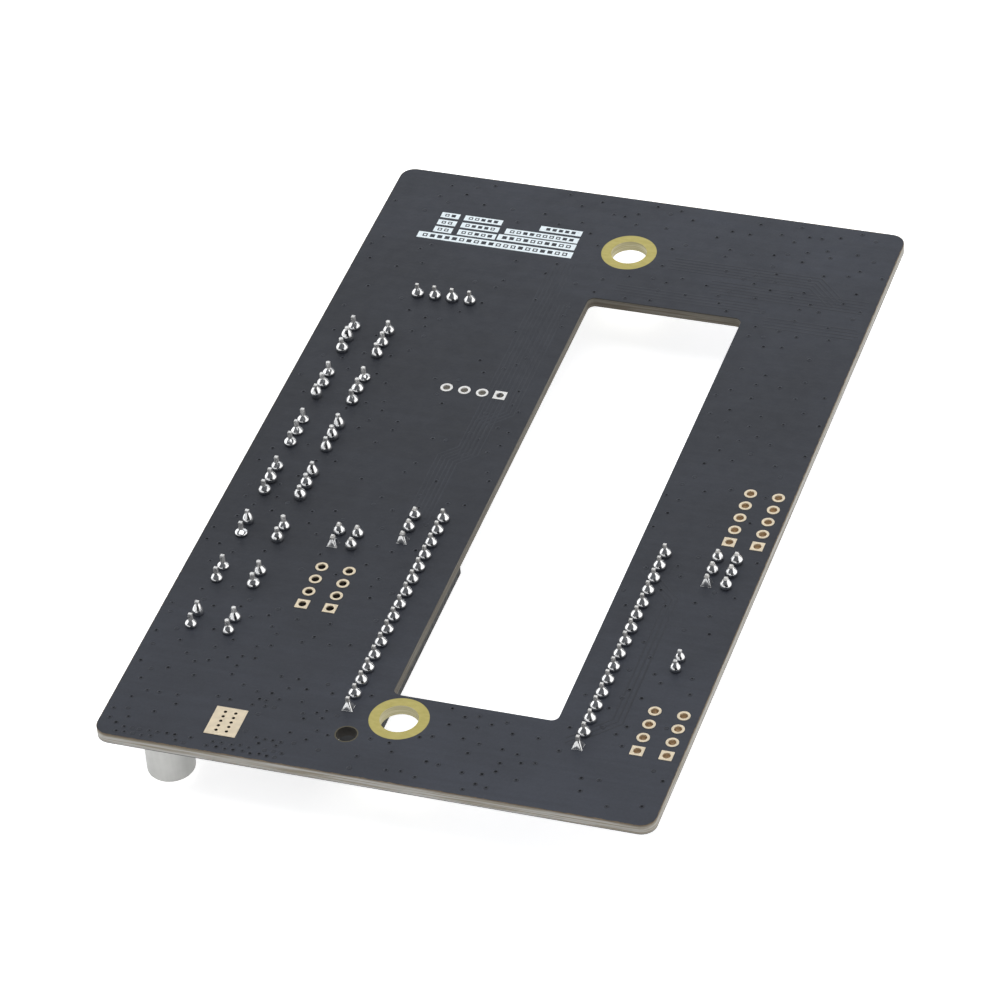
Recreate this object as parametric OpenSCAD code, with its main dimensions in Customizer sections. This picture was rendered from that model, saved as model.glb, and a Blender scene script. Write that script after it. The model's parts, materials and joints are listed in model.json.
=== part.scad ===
// Expansion board that a host controller board plugs into, lying solder side up.
// The origin is the middle of the board's outline, on the plane that its connectors stand on.
// X runs across the board, Y along it and Z up. The components hang below the laminate.

/* [Board] */
// Width of the board
board_w = 74.1; // [62:0.1:90]
// Length of the board
board_l = 123.8; // [103:0.1:150]
// Thickness of the laminate
board_t = 1.5; // [0.8:0.1:2.4]
// Radius of the board's outer corners
board_corner_r = 2; // [0.5:0.1:4]

/* [Battery window] */
// Front edge of the board to the window that clears the host board's battery holder
window_from_front = 15.9; // [15:0.1:18]
// Rear edge of the board to the window
window_from_rear = 23.2; // [18:0.1:30]
// Left host socket's pins to the window
window_from_left_socket = 4.5; // [2.5:0.05:6]
// Right host socket's pins to the window
window_from_right_socket = 4; // [2.5:0.05:6]
// Radius of the window's corners
window_corner_r = 1; // [0.4:0.1:3]

/* [Mounting holes] */
// Diameter of the two mounting holes
mount_d = 5; // [3:0.1:6]
// Front edge of the board to the front mounting hole
mount_from_front = 11.6; // [9:0.1:12]
// Rear edge of the board to the rear mounting hole
mount_from_rear = 12.2; // [9:0.1:14]
// Left edge of the window to the middle of the mounting holes
mount_from_window = 2.4; // [1:0.05:4]
// Diameter of the locating hole
locating_d = 2.7; // [1.5:0.1:3.2]
// Left edge of the board to the locating hole
locating_from_left = 31.7; // [29:0.1:33]
// Front edge of the board to the locating hole
locating_from_front = 7.3; // [5:0.1:8]

/* [Pins and solder] */
// Pitch of the sockets, pin headers and bare pads
pitch = 2.54; // [2.2:0.01:3]
// Width of a square header pin
pin_w = 0.6; // [0.4:0.05:0.7]
// Width of a socket contact's tail
tail_w = 0.45; // [0.35:0.05:0.6]
// Drilled hole of a pin or tail
pin_drill = 1.05; // [1:0.05:1.3]
// Diameter of a solder drop at the board
solder_d = 1.5; // [1.4:0.05:1.9]
// Share of a socket tail that its solder climbs
socket_climb = 0.66; // [0.5:0.01:0.8]
// Share of a header tail that its solder climbs
header_climb = 0.84; // [0.5:0.01:0.86]
// Share of a terminal tail that its solder climbs
terminal_climb = 0.64; // [0.5:0.01:0.66]
// Share by which the drops of a row differ in height
solder_vary = 0.08; // [0:0.01:0.1]
// Share by which the drops of the terminals differ in height
terminal_solder_vary = 0.4; // [0:0.05:0.4]
// Length of the socket tails above the board
socket_tail = 1.85; // [1.5:0.05:2.5]
// Length of the header tails above the board
header_tail = 1.6; // [1.5:0.05:2.5]
// Length of the terminal tails above the board
terminal_tail = 2; // [1.5:0.05:3]
// Outer diameter of a bare pad
pad_d = 1.7; // [1.4:0.05:2]
// Bore of a bare pad
pad_bore = 1.05; // [0.7:0.05:1.2]
// Thickness of the plated copper
copper_t = 0.05; // [0.03:0.01:0.1]
// Distance between the two columns of a bare module footprint
pad_column_gap = 3.81; // [3:0.01:4.5]

/* [Host sockets] */
// Number of pins in each host socket
socket_pin_count = 16; // [8:1:20]
// Left edge of the board to the left host socket's pins
left_socket_from_left = 30.36; // [30:0.01:33]
// Right edge of the board to the right host socket's pins
right_socket_from_right = 13.26; // [12:0.01:15]
// Front edge of the board to the front pins of the sockets
socket_from_front = 12; // [11:0.1:20]
// Height of a socket housing
socket_h = 8.5; // [7:0.1:11]
// Width of a socket housing
socket_w = 2.5; // [2.3:0.05:3]
// Wall of a socket housing beside a contact
socket_wall = 0.55; // [0.4:0.05:0.6]
// Square entry of a socket
socket_entry = 0.9; // [0.8:0.05:1.1]

/* [Terminals] */
// Pitch of the terminal poles
terminal_pitch = 2.54; // [2.5:0.01:3]
// Distance between the two solder pins of a pole
terminal_pin_gap = 5.08; // [4.5:0.01:6]
// Width of a terminal pin
terminal_pin_w = 0.5; // [0.4:0.05:0.75]
// Drilled hole of a terminal pin
terminal_drill = 1.15; // [1:0.05:1.4]
// Height of a terminal block
terminal_h = 8.5; // [7.5:0.1:11]
// Left edge of the board to the front face of the terminals
terminal_from_left = 0.6; // [0:0.1:2]
// Front face of a terminal to its first pins
terminal_front_reach = 4.6; // [3.8:0.1:6]
// Second pins of a terminal to its rear face
terminal_rear_reach = 2.3; // [2:0.1:3]
// End wall of a terminal block
terminal_end_wall = 0.75; // [0.5:0.05:1.2]
// Wall between two poles
terminal_web = 0.9; // [0.6:0.05:1.1]
// Slope at the upper front and rear edges of a terminal
terminal_bevel = 1.6; // [0.6:0.1:2]
// Bore of a wire entry
wire_d = 1.8; // [1:0.05:1.9]
// Front edge of the board to the front terminal
terminals_from_front = 20.3; // [18:0.1:22]
// Gap between two-way terminals
two_way_gap = 2.9; // [0.5:0.1:3.5]
// Gap between the two-way and the three-way terminals
group_gap = 2.3; // [0.5:0.1:3.5]
// Gap between three-way terminals
three_way_gap = 1.35; // [0.3:0.05:2]

/* [Headers] */
// Height of a pin header's base
header_h = 2.5; // [2:0.1:3]
// Length of the header pins above the base
header_pin_l = 5.9; // [3:0.1:5.9]
// Corner cut between the posts of a header base
header_notch = 0.5; // [0.2:0.05:0.7]
// Left edge of the board to the first pin of the display socket
display_from_left = 11.4; // [6:0.1:14]
// Last terminal to the display socket's pins
display_from_terminals = 7.1; // [3:0.1:10]
// Terminals to the first pins of the jumper block
jumper_from_terminals = 5.2; // [5:0.1:6]
// Front edge of the board to the jumper block
jumper_from_front = 42; // [41:0.1:44]
// Left host socket to the selector header
selector_from_socket = 3.85; // [3:0.05:4.2]
// Front edge of the board to the selector header
selector_from_front = 44.8; // [40:0.1:48]
// Right edge of the board to the signal header
signal_from_right = 3.8; // [2:0.1:4.2]
// Front edge of the board to the signal header
signal_from_front = 45.8; // [40:0.1:46]

/* [Battery connector] */
// Pin pitch of the battery connector
battery_pitch = 2; // [1.5:0.05:2.5]
// Right edge of the board to the battery connector's pins
battery_from_right = 5.55; // [4:0.05:6]
// Front edge of the board to the battery connector
battery_from_front = 28.8; // [27:0.1:32]
// Height of the battery connector
battery_h = 6; // [5:0.1:7]
// Width of a battery connector pin
battery_pin_w = 0.5; // [0.4:0.05:0.6]
// Drilled hole of a battery connector pin
battery_drill = 0.9; // [0.8:0.05:1.2]
// Wall of the battery connector
battery_wall = 0.6; // [0.4:0.05:0.8]

/* [Bare pads] */
// Terminals to the left footprint's first column
left_pads_from_terminals = 5.25; // [5:0.05:7]
// Front edge of the board to the left footprint
left_pads_from_front = 29.7; // [28:0.1:31]
// Right edge of the board to the right footprints
right_pads_from_right = 2.05; // [1.5:0.05:3]
// Front edge of the board to the rear right footprint
rear_pads_from_front = 54.5; // [54:0.1:70]
// Front edge of the board to the front right footprint
front_pads_from_front = 13; // [6:0.1:14]
// Left edge of the board to the centre footprint
centre_pads_from_left = 21.9; // [21:0.1:24]
// Front edge of the board to the centre footprint
centre_pads_from_front = 76.9; // [60:0.1:90]
// Width of the heat pad
heat_pad_w = 4.2; // [3:0.1:5]
// Length of the heat pad
heat_pad_l = 5.2; // [4:0.1:6]
// Bore of the heat pad's vias
heat_via_d = 0.45; // [0.3:0.05:0.6]

/* [Capacitor] */
// Diameter of the capacitor's can
can_d = 6.3; // [5:0.1:8]
// Height of the capacitor above the board
can_h = 7.7; // [5:0.1:8.4]
// Left edge of the board to the capacitor's axis
can_from_left = 7.8; // [5:0.1:8]
// Front edge of the board to the capacitor's axis
can_from_front = 5.5; // [5.2:0.1:8]
// Thickness of the capacitor's base
can_base_h = 0.9; // [0.5:0.1:1.5]

/* [Surface parts] */
// Left edge of the board to the regulator
regulator_from_left = 16.05; // [15.5:0.05:17]
// Front edge of the board to the regulator
regulator_from_front = 5.8; // [5:0.1:6.5]
// Width of a chip's body
chip_w = 3.9; // [3:0.1:4.4]
// Length of a chip's body
chip_l = 4.9; // [4.6:0.1:6]
// Height of a chip
chip_h = 1.55; // [1.2:0.05:2]
// Pitch of the chip leads
chip_pitch = 1.27; // [1:0.01:1.3]
// Reach of a chip lead from the body
chip_lead_l = 1.05; // [0.8:0.05:1.2]
// Terminals to the middle of the transceiver chips
chip_from_terminals = 4.8; // [4.6:0.1:6]
// Side of the power inductor
inductor_w = 6; // [4:0.1:6.6]
// Height of the power inductor
inductor_h = 3; // [2:0.1:4.5]
// Regulator to the middle of the inductor
inductor_from_regulator = 7.7; // [7:0.1:9]
// Length of a diode's body
diode_l = 4.3; // [3:0.1:4.6]
// Width of a diode's body
diode_w = 2.6; // [2:0.1:2.8]
// Height of a diode
diode_h = 2.2; // [1.5:0.1:2.6]
// Regulator to the rectifier diode
rectifier_from_regulator = 6.4; // [5.5:0.1:8]
// Terminals to the middle of the surge diodes
surge_from_terminals = 2.1; // [1.8:0.1:2.3]
// Length of a chip resistor or capacitor
passive_l = 1.6; // [1:0.1:2]
// Width of a chip resistor or capacitor
passive_w = 0.8; // [0.5:0.1:1]

/* [Hidden] */

cut = 0.5;
arc_steps = 8;

// Heights of the laminate's two faces
under_z = max(socket_h, terminal_h);
top_z = under_z + board_t;

// Distances from the board's edges, as coordinates
function from_left(d) = d - board_w / 2;
function from_right(d) = board_w / 2 - d;
function from_front(d) = d - board_l / 2;
function grid(x, y, nx, ny, gap_x, gap_y) =
    [for (ix = [0 : nx - 1], iy = [0 : ny - 1]) [x + ix * gap_x, y + iy * gap_y]];

// Square first pads: whether a point is in a list, and the front pair of a two-column footprint
function is_in(p, list) = len([for (f = list) if (f == p) f]) > 0;
function front_pair(points) = [for (p = points) if (p[1] == points[0][1]) p];

// Outline of a rectangle with round corners
function round_rectangle(w, l, r) = [
    for (q = [0 : 3], s = [0 : arc_steps])
        let (a = 90 * (q + s / arc_steps))
        [(q == 0 || q == 3 ? 1 : -1) * (w / 2 - r) + r * cos(a), (q < 2 ? 1 : -1) * (l / 2 - r) + r * sin(a)]
];

// Outline of a sheet-metal strip bent along a line of points
function normal(p, q) = [p[1] - q[1], q[0] - p[0]] / norm(q - p);
function mitre(line, i) =
    i == 0 ? normal(line[0], line[1])
    : i == len(line) - 1 ? normal(line[i - 1], line[i])
    : let (
        a = normal(line[i - 1], line[i]),
        m = a + normal(line[i], line[i + 1])
    ) m / (m * a);
function strip(line, t) = concat(
    [for (i = [0 : len(line) - 1]) line[i] + mitre(line, i) * t / 2],
    [for (i = [len(line) - 1 : -1 : 0]) line[i] - mitre(line, i) * t / 2]
);

// Terminal blocks, numbered from the front
terminal_poles = [2, 2, 2, 3, 3, 3, 3];
two_way_count = len([for (poles = terminal_poles) if (poles == 2) poles]);
terminal_d = terminal_front_reach + terminal_pin_gap + terminal_rear_reach;
terminal_x = from_left(terminal_from_left);
terminal_rear_x = terminal_x + terminal_d;
terminal_cavity_w = terminal_pitch - terminal_web;
terminal_roof = 2.3;
terminal_cavity_h = terminal_h - terminal_roof;
clamp_t = 0.6;
clamp_lift = 0.5;
spring_t = 0.25;
function terminal_l(i) = terminal_poles[i] * terminal_pitch + 2 * terminal_end_wall;
function terminal_gap(i) = i < two_way_count ? two_way_gap : i == two_way_count ? group_gap : three_way_gap;
function terminal_start(i) =
    i == 0 ? terminals_from_front : terminal_start(i - 1) + terminal_l(i - 1) + terminal_gap(i);
function terminal_y(i) = from_front(terminal_start(i) + terminal_l(i) / 2);
function pole_y(i, k) = (k - (terminal_poles[i] - 1) / 2) * terminal_pitch;
last_terminal = len(terminal_poles) - 1;
terminals_end = terminal_start(last_terminal) + terminal_l(last_terminal);

// Pin and pad positions
left_socket_x = from_left(left_socket_from_left);
right_socket_x = from_right(right_socket_from_right);
socket_y = from_front(socket_from_front);
left_socket_points = grid(left_socket_x, socket_y, 1, socket_pin_count, 0, pitch);
right_socket_points = grid(right_socket_x, socket_y, 1, socket_pin_count, 0, pitch);
display_pin_count = 4;
display_y = from_front(terminals_end + display_from_terminals);
display_points = grid(from_left(display_from_left), display_y, display_pin_count, 1, pitch, 0);
jumper_x = terminal_rear_x + jumper_from_terminals;
jumper_points = grid(jumper_x, from_front(jumper_from_front), 2, 2, pitch, pitch);
selector_x = left_socket_x - selector_from_socket;
selector_points = grid(selector_x, from_front(selector_from_front), 1, 3, 0, pitch);
signal_x = from_right(signal_from_right + pitch);
signal_points = grid(signal_x, from_front(signal_from_front), 2, 3, pitch, pitch);
battery_x = from_right(battery_from_right);
battery_points = grid(battery_x, from_front(battery_from_front), 1, 2, 0, battery_pitch);
header_points = concat(jumper_points, selector_points, signal_points);
terminal_points = [
    for (i = [0 : last_terminal], k = [0 : terminal_poles[i] - 1], side = [0, 1])
        [terminal_x + terminal_front_reach + side * terminal_pin_gap, terminal_y(i) + pole_y(i, k)]
];
left_pads_x = terminal_rear_x + left_pads_from_terminals;
left_pad_points = grid(left_pads_x, from_front(left_pads_from_front), 2, 4, pad_column_gap, pitch);
right_pads_x = from_right(right_pads_from_right + pad_column_gap);
rear_pad_points = grid(right_pads_x, from_front(rear_pads_from_front), 2, 5, pad_column_gap, pitch);
front_pad_points = grid(right_pads_x, from_front(front_pads_from_front), 2, 4, pad_column_gap, pitch);
centre_pads_x = from_left(centre_pads_from_left);
centre_pad_points = grid(centre_pads_x, from_front(centre_pads_from_front), 4, 1, pitch, 0);
pad_points = concat(left_pad_points, rear_pad_points, front_pad_points, centre_pad_points);
pad_drill = pad_bore + 2 * copper_t;
pin_points = concat(left_socket_points, right_socket_points, display_points, header_points);

// Window between the host sockets, and the mounting holes in front of it and behind it
window_x = left_socket_x + window_from_left_socket;
window_w = right_socket_x - window_from_right_socket - window_x;
window_l = board_l - window_from_front - window_from_rear;
mount_x = window_x + mount_from_window;
mount_points = [[mount_x, from_front(mount_from_front)], [mount_x, board_l / 2 - mount_from_rear]];

// Heat pad with its vias, opposite the regulator
regulator_x = from_left(regulator_from_left);
regulator_y = from_front(regulator_from_front);
heat_via_x = heat_pad_w / 3;
heat_via_y = heat_pad_l / 6;
heat_via_start = [regulator_x - heat_via_x / 2, regulator_y - 2 * heat_via_y];
heat_via_points = grid(heat_via_start[0], heat_via_start[1], 2, 5, heat_via_x, heat_via_y);

// Surface parts
chip_standoff = 0.12;
chip_draft = 0.12;
lead_t = 0.2;
lead_w = 0.42;
tab_t = 0.2;
tab_reach = 0.45;
chip_x = terminal_rear_x + chip_from_terminals;
function chip_y(i) = terminal_y(two_way_count + i);
chip_points = [for (i = [0 : 3]) [chip_x, chip_y(i)]];
surge_points = [for (i = [0 : two_way_count - 1]) [terminal_rear_x + surge_from_terminals, terminal_y(i)]];
rectifier_points = [[regulator_x + rectifier_from_regulator, regulator_y]];
inductor_y = regulator_y + inductor_from_regulator;
resistor_gap = 2.6;
resistor_x = terminal_rear_x + (chip_from_terminals - chip_w / 2 - chip_lead_l) / 2;
resistor_points = [
    for (p = chip_points, s = [-1, 1]) [resistor_x, p[1] + s * resistor_gap / 2]
];
capacitor_points = [for (p = chip_points) [chip_x, p[1] - chip_l / 2 - passive_w]];
resistor_h = 0.5;
ceramic_h = 0.8;
end_cap_l = 0.35;

// Placing helpers: children at each point, and children built upwards from the laminate's underside
module at(points) {
    for (p = points) translate([p[0], p[1], 0]) children();
}

module under() {
    translate([0, 0, under_z]) mirror([0, 0, 1]) children();
}

// An outline drawn in X and Z, made solid along Y
module along_y(outline, w) {
    rotate([90, 0, 0]) linear_extrude(w, center = true) polygon(outline);
}

// An outline drawn in Y and Z, made solid along X
module along_x(outline, w) {
    rotate([0, 0, 90]) along_y(outline, w);
}

module plate(w, l, r, t) {
    linear_extrude(t) polygon(round_rectangle(w, l, r));
}

module drilled(points, d) {
    at(points) translate([0, 0, -cut]) cylinder(d = d, h = board_t + 2 * cut, $fn = 32);
}

module circuit_board() {
    color("#44464d")
    translate([0, 0, under_z])
    difference() {
        plate(board_w, board_l, board_corner_r, board_t);
        translate([window_x + window_w / 2, from_front(window_from_front + window_l / 2), -cut])
            plate(window_w, window_l, window_corner_r, board_t + 2 * cut);
        drilled(mount_points, mount_d);
        drilled([[from_left(locating_from_left), from_front(locating_from_front)]], locating_d);
        drilled(pin_points, pin_drill);
        drilled(terminal_points, terminal_drill);
        drilled(battery_points, battery_drill);
        drilled(pad_points, pad_drill);
        drilled(heat_via_points, heat_via_d);
    }
}

// Plated hole: a copper barrel with a ring on each face, square where it marks the first pin
module plated_hole(square_ring) {
    difference() {
        union() {
            cylinder(d = pad_drill, h = board_t, $fn = 32);
            for (z = [-copper_t, board_t]) translate([0, 0, z]) {
                if (square_ring) translate([-pad_d / 2, -pad_d / 2, 0]) cube([pad_d, pad_d, copper_t]);
                else cylinder(d = pad_d, h = copper_t, $fn = 32);
            }
        }
        translate([0, 0, -cut]) cylinder(d = pad_bore, h = board_t + 2 * cut, $fn = 32);
    }
}

module footprint(points, firsts) {
    color("#cdbb93")
    translate([0, 0, under_z])
    for (p = points) translate([p[0], p[1], 0]) plated_hole(is_in(p, firsts));
}

module heat_pad() {
    color("#b7ab92")
    translate([0, 0, top_z])
    difference() {
        translate([regulator_x, regulator_y, 0]) plate(heat_pad_w, heat_pad_l, copper_t, copper_t);
        drilled(heat_via_points, heat_via_d);
    }
}

// Solder joint: a plug round the pin in its hole, under a drop that swells at the pad and climbs the tail.
// A round drop bulges at its foot, and the four-sided one of a first pin flares out to its corners.
socket_drop_h = socket_tail * socket_climb;
header_drop_h = header_tail * header_climb;
solder_steps = 7;
solder_seed = 7;
solder_skin = 0.04;
drop_power = 0.85;
flare_power = 1.8;
function drop_side(neck, h, first) = [
    for (s = [0 : solder_steps])
        let (
            t = s / solder_steps,
            swell = first ? pow(1 - t, flare_power) : (1 + cos(180 * pow(t, drop_power))) / 2
        )
        [neck + (solder_d / 2 - neck) * swell, h * t]
];

module round_joint(drill, side, h) {
    plug = [[0, -board_t], [drill / 2, -board_t], [drill / 2, 0]];
    rotate_extrude($fn = 32) polygon(concat(plug, side, [[0, h]]));
}

// The first pin of a row has a square pad, so its drop has four sides
module square_joint(drill, side) {
    outline = concat(side, [for (s = [solder_steps : -1 : 0]) [-side[s][0], side[s][1]]]);
    translate([0, 0, -board_t]) cylinder(d = drill, h = board_t, $fn = 32);
    intersection() {
        along_y(outline, solder_d);
        along_x(outline, solder_d);
    }
}

module solder_joint(drill, pin, h, first) {
    side = drop_side(pin * sqrt(2) / 2 + solder_skin, h, first);
    difference() {
        if (first) square_joint(drill, side);
        else round_joint(drill, side, h);
        translate([-pin / 2, -pin / 2, -board_t - cut]) cube([pin, pin, board_t + h + 2 * cut]);
    }
}

module solder(points, drill, pin, rise, vary, firsts = []) {
    shares = rands(1 - vary, 1 + vary, len(points), solder_seed);
    color("#b9bcbc")
    for (i = [0 : len(points) - 1])
        translate([points[i][0], points[i][1], top_z])
            solder_joint(drill, pin, rise * shares[i], is_in(points[i], firsts));
}

// Square pin between two heights over the underside: its tail is cut off blunt and its other end is pointed
blunt_share = 0.12;
function pin_outline(w, low, high) = let (p = w / 4, c = w / 3, b = w * blunt_share) [
    [b - w / 2, low], [w / 2 - b, low], [w / 2, low + b], [w / 2, high - c], [p, high], [-p, high],
    [-w / 2, high - c], [-w / 2, low + b]
];

module square_pin(w, low, high) {
    intersection() {
        along_y(pin_outline(w, low, high), w);
        along_x(pin_outline(w, low, high), w);
    }
}

// Square channel that a pin fills in a moulding
module pin_channel(w, h) {
    translate([-w / 2, -w / 2, -cut]) cube([w, w, h + 2 * cut]);
}

// Female socket along Y: a row of cavities, each with a square funnel at the mating face
socket_roof = 1.2;
socket_funnel = 0.35;
function funnel_outline(h) = [
    [-socket_entry / 2, h - socket_roof - cut], [-socket_entry / 2, h - socket_funnel],
    [-socket_entry / 2 - socket_funnel - cut, h + cut], [socket_entry / 2 + socket_funnel + cut, h + cut],
    [socket_entry / 2, h - socket_funnel], [socket_entry / 2, h - socket_roof - cut]
];
cavity_x = socket_w - 2 * socket_wall;
cavity_y = pitch - 2 * socket_wall;

module socket_housing(pins) {
    color("#1f1f22")
    difference() {
        translate([-socket_w / 2, -pitch / 2, 0]) cube([socket_w, pins * pitch, socket_h]);
        for (k = [0 : pins - 1]) translate([0, k * pitch, 0]) {
            translate([-cavity_x / 2, -cavity_y / 2, -cut])
                cube([cavity_x, cavity_y, socket_h - socket_roof + cut]);
            intersection() {
                along_y(funnel_outline(socket_h), pitch);
                along_x(funnel_outline(socket_h), socket_w);
            }
        }
    }
}

// Tuning-fork contact that grips a host pin, with its tail through the board
contact_t = 0.18;
contact_w = 0.8;
contact_seat = 0.6;
contact_base_h = 0.5;
contact_rise = 1;
contact_pinch = 1.6;
contact_lip = 0.3;

module socket_contact() {
    reach = cavity_x / 2 - contact_t / 2;
    base_top = contact_seat + contact_base_h;
    pinch_z = socket_h - socket_roof - contact_pinch;
    lip_z = socket_h - socket_roof - contact_lip;
    pinch_x = pin_w / 2 + contact_t / 2;
    color("#c8b27a") {
        square_pin(tail_w, -board_t - socket_tail, base_top);
        translate([-cavity_x / 2, -contact_w / 2, contact_seat]) cube([cavity_x, contact_w, contact_base_h]);
        for (s = [-1, 1])
            along_y(
                strip([
                    [s * reach, base_top - contact_base_h / 2], [s * reach, base_top + contact_rise],
                    [s * pinch_x, pinch_z], [s * reach, lip_z]
                ], contact_t),
                contact_w
            );
    }
}

module socket_contacts(points) {
    under() at(points) socket_contact();
}

module host_socket_housing(x) {
    under() translate([x, socket_y, 0]) socket_housing(socket_pin_count);
}

// Sideways row of the display socket
module display_socket_housing() {
    under() translate(display_points[0]) rotate([0, 0, -90]) socket_housing(display_pin_count);
}

module display_socket_contacts() {
    under() at(display_points) rotate([0, 0, 90]) socket_contact();
}

// Spring-clamp terminal block: one moulding with a wire entry, an opening slot and a cavity for each pole
slot_w = 1.2;
slot_l = 2.2;
groove = 0.3;
funnel_l = 0.5;
cavity_front = 1.2;
cavity_rear = 1.3;
front_bevel_share = 0.8;
wire_z = clamp_lift + clamp_t + wire_d / 2;
pin_1_x = terminal_front_reach;
pin_2_x = terminal_front_reach + terminal_pin_gap;
cavity_front_x = pin_1_x - cavity_front;
cavity_rear_x = pin_2_x + cavity_rear;
terminal_outline = [
    [0, 0], [0, terminal_h - terminal_bevel], [terminal_bevel * front_bevel_share, terminal_h],
    [terminal_d - terminal_bevel, terminal_h], [terminal_d, terminal_h - terminal_bevel], [terminal_d, 0]
];

module terminal_pole_hollow() {
    translate([cavity_front_x, -terminal_cavity_w / 2, -cut])
        cube([cavity_rear_x - cavity_front_x, terminal_cavity_w, terminal_cavity_h + cut]);
    translate([-cut, 0, wire_z]) rotate([0, 90, 0]) cylinder(d = wire_d, h = pin_1_x + cut, $fn = 32);
    translate([0, 0, wire_z]) rotate([0, 90, 0])
        cylinder(d1 = wire_d + funnel_l, d2 = wire_d, h = funnel_l, $fn = 32);
    translate([(pin_1_x + pin_2_x - slot_l) / 2, -slot_w / 2, terminal_cavity_h - cut])
        cube([slot_l, slot_w, terminal_h]);
}

module terminal_housing(i) {
    poles = terminal_poles[i];
    color("#a9adab")
    under() translate([terminal_x, terminal_y(i), 0])
    difference() {
        along_y(terminal_outline, terminal_l(i));
        for (k = [0 : poles - 1]) translate([0, pole_y(i, k), 0]) terminal_pole_hollow();
        for (k = [1 : poles - 1])
            translate([terminal_bevel, pole_y(i, k) - (terminal_pitch + groove) / 2, terminal_h - groove])
                cube([terminal_d - 2 * terminal_bevel, groove, terminal_h]);
    }
}

// Clamp of one pole: a bar that joins the two solder pins, and the leaf spring that presses the wire on it
bar_w = 0.7;
bar_top = clamp_lift + clamp_t;
spring_room = 0.15;
spring_headroom = 1;
spring_top = terminal_cavity_h - spring_headroom;
spring_w = terminal_cavity_w - 2 * spring_room;
spring_bow = 0.4;
spring_shoulder = 1.4;
spring_line = [
    [pin_2_x + spring_bow / 2, bar_top - clamp_t / 2], [pin_2_x + spring_bow, spring_top - spring_shoulder],
    [pin_2_x - spring_bow, spring_top], [pin_2_x - spring_shoulder, spring_top - spring_bow],
    [pin_1_x + clamp_t, bar_top + spring_bow]
];

module terminal_clamp() {
    color("#c9c4b4") {
        for (x = [pin_1_x, pin_2_x])
            translate([x, 0, 0]) square_pin(terminal_pin_w, -board_t - terminal_tail, bar_top);
        translate([pin_1_x - clamp_t, -bar_w / 2, clamp_lift])
            cube([terminal_pin_gap + 2 * clamp_t, bar_w, clamp_t]);
        along_y(strip(spring_line, spring_t), spring_w);
    }
}

module terminal_clamps(i) {
    under() translate([terminal_x, terminal_y(i), 0])
        for (k = [0 : terminal_poles[i] - 1]) translate([0, pole_y(i, k), 0]) terminal_clamp();
}

// Pin header: a chain of posts with cut corners, and square pins with pointed mating ends
function post_outline() = let (s = pitch / 2, c = pitch / 2 - header_notch) [
    [s, -c], [s, c], [c, s], [-c, s], [-s, c], [-s, -c], [-c, -s], [c, -s]
];

module header_base(points) {
    color("#1f1f22")
    under()
    difference() {
        linear_extrude(header_h) at(points) polygon(post_outline());
        at(points) pin_channel(pin_w, header_h);
    }
}

module header_pins(points) {
    color("#cfc08a")
    under() at(points) square_pin(pin_w, -board_t - header_tail, header_h + header_pin_l);
}

// Shrouded two-pin battery connector, open at its mating face, with two key slots in one side
battery_side = 1.7;
battery_back = 2.8;
battery_floor = 1.6;
battery_end = 1.95;
battery_slot = 0.8;
battery_pin_inset = 1.2;

module battery_connector_shell() {
    w = battery_side + battery_back;
    l = battery_pitch + 2 * battery_end;
    color("#e6e1d3")
    under() translate([battery_points[0][0], battery_points[0][1], 0])
    difference() {
        translate([-battery_back, -battery_end, 0]) cube([w, l, battery_h]);
        translate([battery_wall - battery_back, battery_wall - battery_end, battery_floor])
            cube([w - 2 * battery_wall, l - 2 * battery_wall, battery_h]);
        for (y = [0, battery_pitch])
            translate([battery_side - battery_wall - cut, y - battery_slot / 2, battery_h / 2])
                cube([battery_wall + 2 * cut, battery_slot, battery_h]);
        for (y = [0, battery_pitch]) translate([0, y, 0]) pin_channel(battery_pin_w, battery_floor);
    }
}

module battery_connector_pins() {
    color("#c8c9c6")
    under() at(battery_points)
        square_pin(battery_pin_w, -board_t - header_tail, battery_h - battery_pin_inset);
}

// Surface-mount capacitor: moulded base with two cut corners, aluminium can with a crimp, two flat leads
can_point = [[from_left(can_from_left), from_front(can_from_front)]];
can_lead_t = 0.2;
can_lead_w = 0.7;
can_lead_l = can_d * 0.52;
can_lead_x = can_d * 0.1;
can_edge_r = 0.4;
can_base_rim = 0.15;
crimp_lift = 0.8;
crimp_z = can_base_h + can_lead_t + crimp_lift;
crimp_r = 0.35;

module capacitor_base() {
    s = can_d / 2 + can_base_rim;
    c = can_d / 5;
    color("#26262a")
    under() at(can_point) translate([0, 0, can_lead_t])
        linear_extrude(can_base_h)
            polygon([[-s, -s], [s, -s], [s, s - c], [s - c, s], [c - s, s], [-s, s - c]]);
}

module capacitor_can() {
    r = can_d / 2;
    foot = can_lead_t + can_base_h;
    crimp = [for (s = [0 : 6]) let (a = 180 * s / 6) [r - crimp_r * sin(a), crimp_z - crimp_r * cos(a)]];
    edge = [for (s = [0 : 4]) let (a = 90 * s / 4)
        [r - can_edge_r * (1 - cos(a)), can_h - can_edge_r * (1 - sin(a))]];
    color("#cfcfcc")
    under() at(can_point)
        rotate_extrude($fn = 64) polygon(concat([[0, foot], [r, foot]], crimp, edge, [[0, can_h]]));
}

module capacitor_leads() {
    color("#c4c5c2")
    under() at(can_point)
        for (turn = [0, 180]) rotate([0, 0, turn]) translate([can_lead_x, -can_lead_w / 2, 0])
            cube([can_lead_l, can_lead_w, can_lead_t]);
}

// Moulded chip with drafted sides and a first-pin dimple, and its gull-wing leads
lead_z = (chip_standoff + chip_h) / 2;
function drafted(w, low, high, band) = let (s = w / 2, i = w / 2 - chip_draft, m = (low + high) / 2) [
    [-i, low], [i, low], [s, m - band / 2], [s, m + band / 2], [i, high], [-i, high],
    [-s, m + band / 2], [-s, m - band / 2]
];

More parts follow.
